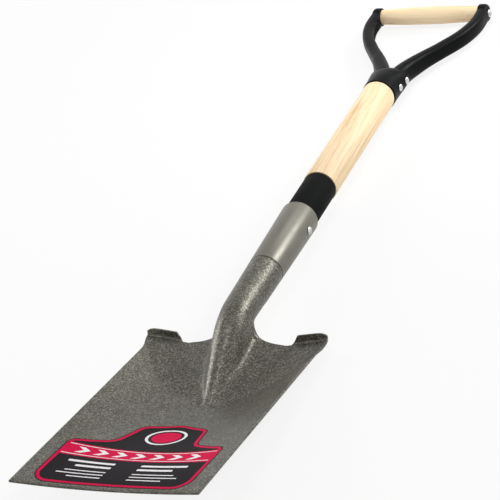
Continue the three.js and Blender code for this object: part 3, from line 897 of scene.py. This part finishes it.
def curvePoint(stops, share):
    # a centripetal Catmull-Rom curve through the stops
    places = [Vector(stop) for stop in stops]
    places = [2 * places[0] - places[1]] + places + [2 * places[-1] - places[-2]]
    scaled = clamp(share) * (len(stops) - 1)
    index = min(int(scaled), len(stops) - 2)
    t = scaled - index
    a, b, c, d = places[index:index + 4]
    before, between, after = [math.sqrt((end - start).length) for start, end in ((a, b), (b, c), (c, d))]
    leave = ((b - a) / before - (c - a) / (before + between) + (c - b) / between) * between
    arrive = ((c - b) / between - (d - b) / (between + after) + (d - c) / after) * between
    square = 3 * (c - b) - 2 * leave - arrive
    cube = 2 * (b - c) + leave + arrive
    return b + leave * t + square * t ** 2 + cube * t ** 3


def sectionCorner(corner, halfThickness, halfDepth, power, groove):
    # a rounded rectangle's corner, squarer as the power grows, hollowed by the groove on its inner side
    angle = corner / yoke["corners"] * 2 * math.pi
    depth = math.copysign(abs(math.sin(angle)) ** (2 / power), math.sin(angle)) * halfDepth
    side = math.copysign(abs(math.cos(angle)) ** (2 / power), math.cos(angle)) * halfThickness
    if side < 0:
        side += groove * (1 - easeBetween(yoke["channelFloor"], yoke["channelMouth"], abs(depth) / halfDepth))
    return side, depth


def armCorner(corner, row):
    share = row / yoke["armRows"]
    stops = [(yoke["reach"] * out, spade["yokeRim"] + yoke["length"] * up) for out, up in armStops]
    place = curvePoint(stops, share)
    heading = (curvePoint(stops, share + 0.001) - curvePoint(stops, share - 0.001)).normalized()
    settled = easeBetween(0, yoke["settled"], share)
    opened, closed = easeBetween(*yoke["channelStart"], share), easeBetween(*yoke["channelEnd"], share)
    side, depth = sectionCorner(
        corner,
        mix(yoke["rootThickness"], yoke["armThickness"], settled) / 2,
        mix(yoke["rootDepth"], yoke["armDepth"], settled) / 2,
        mix(yoke["rootPower"], yoke["armPower"], settled),
        yoke["channel"] * opened * (1 - closed),
    )
    return Vector((place.x + heading.y * side, place.y - heading.x * side, depth))


def bodyCorner(corner, row):
    place, width, depth = curvePoint(bodyStops, row / yoke["bodyRows"])
    x, z = sectionCorner(corner, yoke["cupRadius"] * width, yoke["cupRadius"] * depth, yoke["rootPower"], 0)
    return Vector((x, spade["yokeRim"] + yoke["body"] * clamp(place), z))


def crossPin(radius, start, end, y):
    profile = [(0, start), (radius, start), (radius, end), (0, end)]
    return spunShape(profile, False, around=64, centre=(0, y, 0))


def workObject(shape):
    mesh = bpy.data.meshes.new("work")
    shape.to_mesh(mesh)
    shape.free()
    work = bpy.data.objects.new("work", mesh)
    bpy.context.collection.objects.link(work)
    return work


def settledShape(work):
    # what the work object's modifiers make of it
    shape = bmesh.new()
    shape.from_object(work, bpy.context.evaluated_depsgraph_get())
    bpy.data.objects.remove(work)
    return shape


def cutShape(shape, *cutters):
    for cutter in cutters:
        work, tool = workObject(shape), workObject(cutter)
        cut = work.modifiers.new("cut", "BOOLEAN")
        cut.operation = "DIFFERENCE"
        cut.solver = "EXACT"
        cut.object = tool
        shape = settledShape(work)
        bpy.data.objects.remove(tool)
    return shape


def mirroredShape(shape):
    other = shape.copy()
    bmesh.ops.scale(other, vec=(-1, 1, 1), verts=other.verts)
    bmesh.ops.reverse_faces(other, faces=other.faces)
    return other


def joinShapes(*shapes):
    whole = bmesh.new()
    for shape in shapes:
        mesh = bpy.data.meshes.new("work")
        shape.to_mesh(mesh)
        shape.free()
        whole.from_mesh(mesh)
        bpy.data.meshes.remove(mesh)
    return whole


def cupRivetLines():
    return [spade["yokeRim"] + yoke["cupDepth"] * share for share in yoke["rivetShares"]]


def eyeShape():
    inner, outer, radius = yoke["eyeInner"], yoke["eyeOuter"], yoke["eyeRadius"]
    rounded, chamfer = yoke["eyeRounding"], yoke["eyeChamfer"]
    profile = [(0, inner), (radius - chamfer, inner), (radius, inner + chamfer)]
    for step in range(yoke["eyeSteps"] + 1):
        angle = math.radians(90) * step / yoke["eyeSteps"]
        profile.append((radius - rounded * (1 - math.cos(angle)), outer - rounded * (1 - math.sin(angle))))
    profile.append((0, outer))
    return spunShape(profile, False, around=64, centre=(0, spade["grip"], 0))


def cupCutter():
    # the cup's bore, with a little to spare below its rim
    rim, deep = spade["yokeRim"], spade["yokeRim"] + yoke["cupDepth"]
    bore = yoke["cupRadius"] - yoke["cupWall"]
    mouth = bore + yoke["cupChamfer"]
    below = rim - 4
    return spunShape([
        (0, below),
        (mouth, below),
        (mouth, rim),
        (bore, rim + yoke["cupChamfer"]),
        (bore, rim + yoke["cupDepth"] * yoke["cupStraight"]),
        (bore * yoke["cupTaper"], deep),
        (0, deep),
    ], True)


def makeYoke():
    grip, gap, spare = spade["grip"], spade["gap"], yoke["armDepth"]
    inner, outer = yoke["eyeInner"], yoke["eyeOuter"]
    body = placedGrid(yoke["corners"], yoke["bodyRows"], bodyCorner)
    closeUp(body)
    arm = placedGrid(yoke["corners"], yoke["armRows"], armCorner)
    closeUp(arm)
    arm = cutShape(arm, crossPin(yoke["eyeRadius"] + yoke["facing"], inner - spare, inner + gap, grip))
    eye = eyeShape()
    shells = workObject(joinShapes(body, mirroredShape(arm), arm, mirroredShape(eye), eye))
    grown = shells.modifiers.new("grow", "REMESH")
    grown.mode = "VOXEL"
    grown.voxel_size = yoke["voxel"]
    soft = shells.modifiers.new("soften", "SMOOTH")
    soft.factor = 0.5
    soft.iterations = yoke["smoothing"]
    shape = settledShape(shells)
    pockets = [
        crossPin(bar["end"] + gap, inner - spare, inner + yoke["seatDepth"], grip),
        crossPin(rod["head"] + gap, outer - yoke["spotFace"], outer + spare, grip),
    ]
    for line, share in zip(cupRivetLines(), yoke["gripShares"]):
        start = yoke["cupRadius"] * share
        pockets.append(crossPin(rivet["head"] + gap, start, start + spare, line))
    shape = cutShape(shape, cupCutter(), *[mirroredShape(pocket) for pocket in pockets], *pockets)
    addPiece("yoke_forged", toSharedFrame(shape), "yoke", "blackEnamel", standsFor="yoke", smoothAngle=45)


makeYoke()
print("yoke made")


# Wooden shaft, crossbar and rivets

shaft = {
    "radius": 20.2,
    "foot": 44,
    "footRadius": 13.6,
    "edgeBreak": 0.5,
}


def makeShaft():
    gap, rim, depth = spade["gap"], spade["yokeRim"], yoke["cupDepth"]
    socketFit = tubeRadiusAt(spade["collarBottom"]) - sheet["thickness"] / 2 - gap
    sleeveFit = sleeve["radius"] - sleeve["wall"] - gap
    bore = yoke["cupRadius"] - yoke["cupWall"]
    profile = [
        (0, shaft["foot"]),
        (shaft["footRadius"], shaft["foot"]),
        (socketFit, spade["collarBottom"]),
        (sleeveFit, spade["socketTop"]),
        (sleeveFit, spade["sleeveTop"] + gap),
        (shaft["radius"], spade["sleeveTop"] + gap),
        (shaft["radius"], rim - gap - shaft["radius"] + bore - gap),
        (bore - gap, rim - gap),
        (bore - gap, rim + depth * yoke["cupStraight"]),
        (bore * yoke["cupTaper"] - gap, rim + depth - gap),
        (0, rim + depth - gap),
    ]
    shape = toSharedFrame(spunShape(profile, True, rounding=shaft["edgeBreak"]))
    addPiece("wooden_shaft_turned", shape, "wooden_shaft", "ashShaft", standsFor="wooden_shaft")


def makeCrossbar():
    half = yoke["eyeInner"] + yoke["seatDepth"] - spade["gap"]
    bore = rod["radius"] + spade["gap"]
    profile = [(bore, -half)]
    for step in range(bar["steps"] + 1):
        along = mix(-1, 1, step / bar["steps"])
        profile.append((mix(bar["middle"], bar["end"], along ** 2), along * half))
    profile += [(bore, half), (bore, -half)]
    shape = toSharedFrame(spunShape(profile, False, centre=(0, spade["grip"], 0)))
    addPiece("crossbar_grip_turned", shape, "crossbar_grip", "ashCrossbar", standsFor="crossbar_grip")


dome = {
    "steps": 10,
    "around": 48,
    "edgeBreak": 0.15,
}


def makePin(name, sizes, halfGrip, line):
    # a pin with a domed head pressed on each end
    upper = [(sizes["radius"], halfGrip), (sizes["head"], halfGrip)]
    for step in range(1, dome["steps"]):
        angle = math.radians(90) * step / dome["steps"]
        upper.append((sizes["head"] * math.cos(angle), halfGrip + sizes["height"] * math.sin(angle)))
    upper.append((0, halfGrip + sizes["height"]))
    lower = [(radius, -place) for radius, place in reversed(upper)]
    shape = spunShape(lower + upper, False, around=dome["around"], rounding=dome["edgeBreak"],
                      centre=(0, line, 0))
    addPiece(name + "_pin", toSharedFrame(shape), name, "zincPlate", standsFor=name)


makeShaft()
makeCrossbar()
makePin("crossbar_rivet", rod, yoke["eyeOuter"] + spade["gap"], spade["grip"])
makePin("collar_rivet", rivet, collarRadiusAt(spade["collarRivet"]) + spade["gap"], spade["collarRivet"])
for number, (line, share) in enumerate(zip(cupRivetLines(), yoke["gripShares"]), start=1):
    makePin("yoke_rivet_%d" % number, rivet, yoke["cupRadius"] * share + spade["gap"], line)
print("shaft, crossbar and rivets made")


# Label: a printed film of plain shapes on the blade's front

label = {
    # half its outline: mm from the middle and above the cutting edge
    "outline": ((73, 6), (84, 19), (84, 94), (64, 100), (45, 108), (36, 152), (0, 166)),
    "rounding": 7,
    "margin": 1.2,
    "trim": 3.4,
    "bandBottom": 62,
    "bandTop": 88,
    "bandLine": (2.4, 3.6),   # from the band's edge to each side of the line
    "chevron": ((-8, -6), (-1, -6), (7, 0), (-1, 6), (-8, 6), (0, 0)),
    "chevronPlaces": (-60, -40, -20, 0, 20, 40, 60),
    "discUp": 129,
    "disc": 15,
    "ring": (18, 21),         # its inner and outer radius
    "barStart": 14,           # from the middle
    # each bar's middle height, length, thickness and rounding
    "bars": ((52, 50, 4, 1.2), (43, 38, 4, 1.2), (33, 44, 1.8, 0), (27, 50, 1.8, 0), (21, 36, 1.8, 0)),
    "mesh": 4,                # between the cross lines that let it follow the blade
    "lift": 0.12,             # off the enamel; each colour over it lies a little higher
    "ink": 0.07,
}


def flatShape(corners, rounding=0.0):
    shape = bmesh.new()
    shape.faces.new([shape.verts.new((x, y, 0)) for x, y in corners])
    if rounding:
        bmesh.ops.bevel(shape, geom=list(shape.verts), offset=rounding, segments=6, profile=0.5,
                        affect="VERTICES", material=-1)
    return shape


def flatBox(left, bottom, right, top, rounding=0.0):
    return flatShape(((left, bottom), (right, bottom), (right, top), (left, top)), rounding)


def flatDisc(x, y, radius, hole=0.0):
    shape = bmesh.new()
    bmesh.ops.create_circle(shape, cap_ends=True, radius=radius, segments=48)
    if hole:
        ring = bmesh.ops.inset_region(shape, faces=shape.faces[:], thickness=radius - hole,
                                      use_boundary=True)["faces"]
        bmesh.ops.delete(shape, geom=[face for face in shape.faces if face not in ring], context="FACES")
    bmesh.ops.translate(shape, vec=(x, y, 0), verts=shape.verts)
    return shape


def onBlade(x, up, lift):
    # a place on the blade's front, measured up from the cutting edge
    y = sheet["end"] + up * math.cos(sheet["lift"])
    slopeX = (faceAt(x + 0.1, y) - faceAt(x - 0.1, y)) / 0.2
    slopeY = (faceAt(x, y + 0.1) - faceAt(x, y - 0.1)) / 0.2
    normal = Vector((-slopeX, -slopeY, 1)).normalized()
    return toRow @ (Vector((x, y, faceAt(x, y))) + normal * (sheet["thickness"] / 2 + lift))


def layOnBlade(name, shape, layer, *materialNames):
    wide = max(x for x, up in label["outline"])
    top = label["outline"][-1][1]
    for axis, low, high in ((0, -wide, wide), (1, 0, top)):
        across = Vector((axis == 0, axis == 1, 0))
        for place in range(low, high + 1, label["mesh"]):
            bmesh.ops.bisect_plane(shape, geom=shape.verts[:] + shape.edges[:] + shape.faces[:], dist=0.0001,
                                   plane_co=across * place, plane_no=across)
    lift = label["lift"] + label["ink"] * layer
    for vertex in shape.verts:
        vertex.co = onBlade(vertex.co.x, vertex.co.y, lift)
    addPiece(name, shape, "blade_and_socket", *materialNames)


def makeGround():
    half = label["outline"]
    ground = flatShape([*half, *[(-x, up) for x, up in reversed(half[:-1])]], label["rounding"])
    bmesh.ops.inset_region(ground, faces=ground.faces[:], thickness=label["margin"], use_boundary=True,
                           use_even_offset=True)
    inner = max(ground.faces, key=lambda face: face.calc_area())
    trim = bmesh.ops.inset_region(ground, faces=[inner], thickness=label["trim"], use_boundary=True,
                                  use_even_offset=True)
    for face in trim["faces"]:
        face.material_index = 1
    layOnBlade("label_ground", ground, 0, "blackFilm", "crimsonInk")


def makeMarks():
    bottom, top = label["bandBottom"], label["bandTop"]
    near, far = label["bandLine"]
    inside = max(x for x, up in label["outline"]) - label["margin"] - label["trim"]
    layOnBlade("label_band", flatBox(-inside, bottom, inside, top), 1, "crimsonInk")
    marks = [
        flatBox(-inside, bottom + near, inside, bottom + far),
        flatBox(-inside, top - far, inside, top - near),
    ]
    middle = (bottom + top) / 2
    for place in label["chevronPlaces"]:
        marks.append(flatShape([(place + x, middle + up) for x, up in label["chevron"]]))
    hole, radius = label["ring"]
    marks.append(flatDisc(0, label["discUp"], radius, hole))
    for side in (-1, 1):
        for up, length, thickness, rounding in label["bars"]:
            left, right = sorted((side * label["barStart"], side * (label["barStart"] + length)))
            marks.append(flatBox(left, up - thickness / 2, right, up + thickness / 2, rounding))
    layOnBlade("label_marks", joinShapes(*marks), 2, "paleInk")
    layOnBlade("label_disc", flatDisc(0, label["discUp"], label["disc"]), 1, "crimsonInk")


makeGround()
makeMarks()
print("label made")


# Last update of the scene

bpy.context.view_layer.update()
